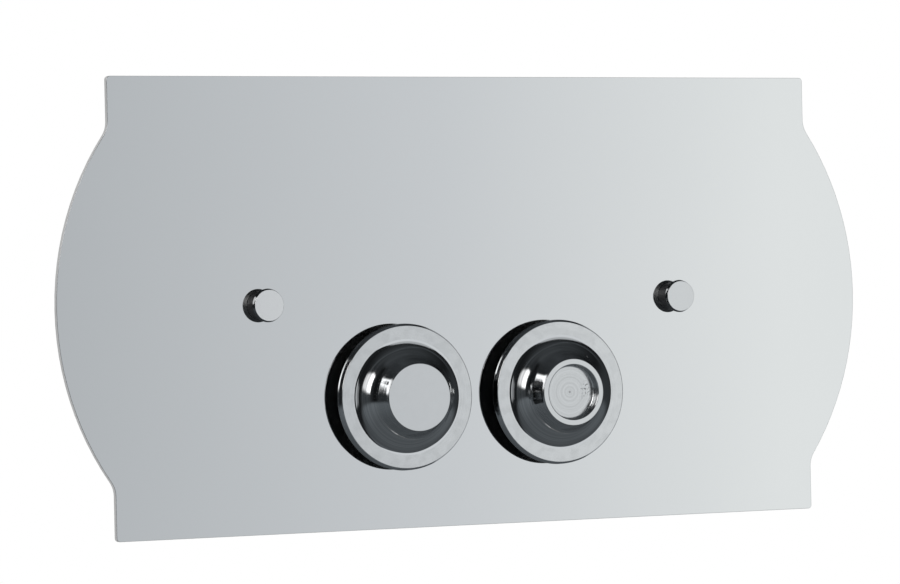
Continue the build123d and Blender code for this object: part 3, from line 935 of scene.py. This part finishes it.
# %% Cut a thread
THREAD_DEPTH = 0.6134
ROOT_END, CREST_START, CREST_END = 0.25, 0.5625, 0.6875
RUN_OUT_TURNS = 3
SPARE = 0.1
CUT_MERGE = 0.0001 * MM
THREAD_ANGLE = 30.0


def combined(piece, tool, operation):
    """Cuts a piece with another one, which is then removed."""
    pick(piece)
    bpy.ops.object.modifier_add(type="BOOLEAN")
    cut = piece.modifiers[-1]
    cut.operation = operation
    cut.solver = "EXACT"
    cut.object = tool
    bpy.ops.object.modifier_apply(modifier=cut.name)
    pick(tool)
    bpy.ops.object.delete()
    pick(piece)
    bpy.ops.object.mode_set(mode="EDIT")
    closed()
    return piece


def threaded(name, radius, pitch, low, high, bevel, steps=48):
    """A threaded bar on the Y axis between two heights, with bevelled ends."""
    root = radius - THREAD_DEPTH * pitch
    first = high + RUN_OUT_TURNS / 2 * pitch
    shape = ((root, 0.0), (root, ROOT_END), (radius, CREST_START), (radius, CREST_END), (root, 1.0))
    points = [Vector((r, PLATE_FRONT - first + share * pitch, 0.0)) * MM for r, share in shape]
    bar = drawn(name, points)
    screwed(bar, pitch, steps, repeats=math.ceil((high - low) / pitch) + RUN_OUT_TURNS)
    welded(bar)
    for height, outwards in ((low - SPARE, 1.0), (high + SPARE, -1.0)):
        bpy.ops.mesh.select_all(action="SELECT")
        bpy.ops.mesh.bisect(plane_co=(0.0, (PLATE_FRONT - height) * MM, 0.0), plane_no=(0.0, outwards, 0.0),
                            use_fill=True, clear_outer=True, threshold=CUT_MERGE)
    closed()
    envelope = turned(f"{name}_envelope", [
        (0.0, low), (radius - bevel, low), (radius + SPARE, low + bevel + SPARE),
        (radius + SPARE, high - bevel - SPARE), (radius - bevel, high), (0.0, high),
    ], steps=steps)
    return combined(bar, envelope, "INTERSECT")


print("a thread of 1 mm pitch is", THREAD_DEPTH, "mm deep")

# %% Rods
BAR_RADIUS, BAR_PITCH, BAR_BEVEL = 3.0, 1.0, 0.6
ROD_LOW, ROD_HIGH = -59.5, -12.0
rod = threaded("full_flush_push_rod_threaded", BAR_RADIUS, BAR_PITCH, ROD_LOW, ROD_HIGH, BAR_BEVEL)
for flush, piece in zip(FLUSHES, paired(rod, BUTTON_X, BUTTON_Z, THREAD_ANGLE)):
    fitted(piece, "zinc_steel", f"{flush}_plunger", f"{flush}_push_rod")
print("two rods of", len(rod.data.polygons), "faces")

# %% [markdown]
# ### Studs
# A stud has a hexagonal collar that stops against the plate's back, and a plain neck in front that carries
# the washer and the cap. The hexagon is a turning of six steps. On a real one the lathe takes the corners
# off at both ends, so a blunt turned shape trims it. That shape is kept a hair clear of the collar's faces.

# %% Studs
STUD_LOW, COLLAR_LOW, COLLAR_HIGH = -48.5, -3.5, -2.0
COLLAR_FLAT, COLLAR_TRIM, COLLAR_OVERLAP = 5.0, 0.55, 0.3
CLEAR, HAIR = 0.2, 0.001
NECK_RADIUS, NECK_LOW, NECK_HIGH, NECK_ROUNDING = 2.45, -2.5, 3.85, 0.3
collar_corner = COLLAR_FLAT / math.cos(math.pi / 6)
collar_reach = collar_corner + CLEAR
trim = (collar_corner - COLLAR_FLAT) * COLLAR_TRIM

shank = threaded("fixing_stud_left_threaded", BAR_RADIUS, BAR_PITCH, STUD_LOW,
                 COLLAR_LOW + COLLAR_OVERLAP, BAR_BEVEL)
collar = turned("collar", [
    (0.0, COLLAR_LOW), (collar_corner, COLLAR_LOW), (collar_corner, COLLAR_HIGH), (0.0, COLLAR_HIGH),
], steps=6)
collar_envelope = turned("collar_envelope", [
    (0.0, COLLAR_LOW - CLEAR), (COLLAR_FLAT, COLLAR_LOW - HAIR), (collar_reach, COLLAR_LOW + trim),
    (collar_reach, COLLAR_HIGH - trim), (COLLAR_FLAT, COLLAR_HIGH + HAIR), (0.0, COLLAR_HIGH + CLEAR),
], steps=96)
collar = combined(collar, collar_envelope, "INTERSECT")
stud_neck = turned("stud_neck", rounded([
    (0.0, NECK_LOW), (NECK_RADIUS, NECK_LOW), (NECK_RADIUS, NECK_HIGH, NECK_ROUNDING), (0.0, NECK_HIGH),
], 4), steps=48)
stud = joined([shank, collar, stud_neck], "fixing_stud_left_threaded")
for hand, piece in zip(HANDS, paired(stud, CAP_X, 0.0, THREAD_ANGLE)):
    fitted(piece, "zinc_steel", "plate", f"fixing_stud_{hand}")
print("two studs of", len(stud.data.polygons), "faces")

# %% [markdown]
# ### Guide bushes
# A bush is a threaded sleeve with a flange, bored wide for the spring and narrow for the stem. Threading it
# solid and then cutting the bore keeps the thread whole. The flange is turned on its own, since it has no
# thread, and joined on.

# %% Guide bushes
BUSH_RADIUS, BUSH_PITCH, BUSH_BEVEL = 12.0, 1.5, 1.0
BUSH_LOW, SLEEVE_HIGH = -18.5, -2.0
STEM_HOLE, SPRING_HOLE = 5.05, 9.2
BORE_START, BORE_END = -20.0, 0.0
FLANGE_RADIUS, FLANGE_HIGH, FLANGE_ROUNDING = 14.2, 1.2, 0.4
SPIGOT_LOW = -2.2

sleeve = threaded("full_flush_guide_bush_threaded", BUSH_RADIUS, BUSH_PITCH, BUSH_LOW, SLEEVE_HIGH,
                  BUSH_BEVEL, steps=96)
bore = turned("bore", [
    (0.0, BORE_START), (STEM_HOLE, BORE_START), (STEM_HOLE, SEAT_HEIGHT), (SPRING_HOLE, SEAT_HEIGHT),
    (SPRING_HOLE, BORE_END), (0.0, BORE_END),
], steps=80)
sleeve = combined(sleeve, bore, "DIFFERENCE")
flange_outline = rounded([
    (SPRING_HOLE, FLANGE_HIGH), (FLANGE_RADIUS, FLANGE_HIGH, FLANGE_ROUNDING), (FLANGE_RADIUS, 0.0),
    (BUSH_RADIUS, 0.0), (BUSH_RADIUS, SPIGOT_LOW), (SPRING_HOLE, SPIGOT_LOW),
])
flange = turned("flange", flange_outline + flange_outline[:1], steps=96)
bush = joined([sleeve, flange], "full_flush_guide_bush_threaded")
for flush, piece in zip(FLUSHES, paired(bush, BUTTON_X, BUTTON_Z, THREAD_ANGLE)):
    fitted(piece, "turned_brass", "plate", f"{flush}_guide_bush")
print("two bushes of", len(bush.data.polygons), "faces")
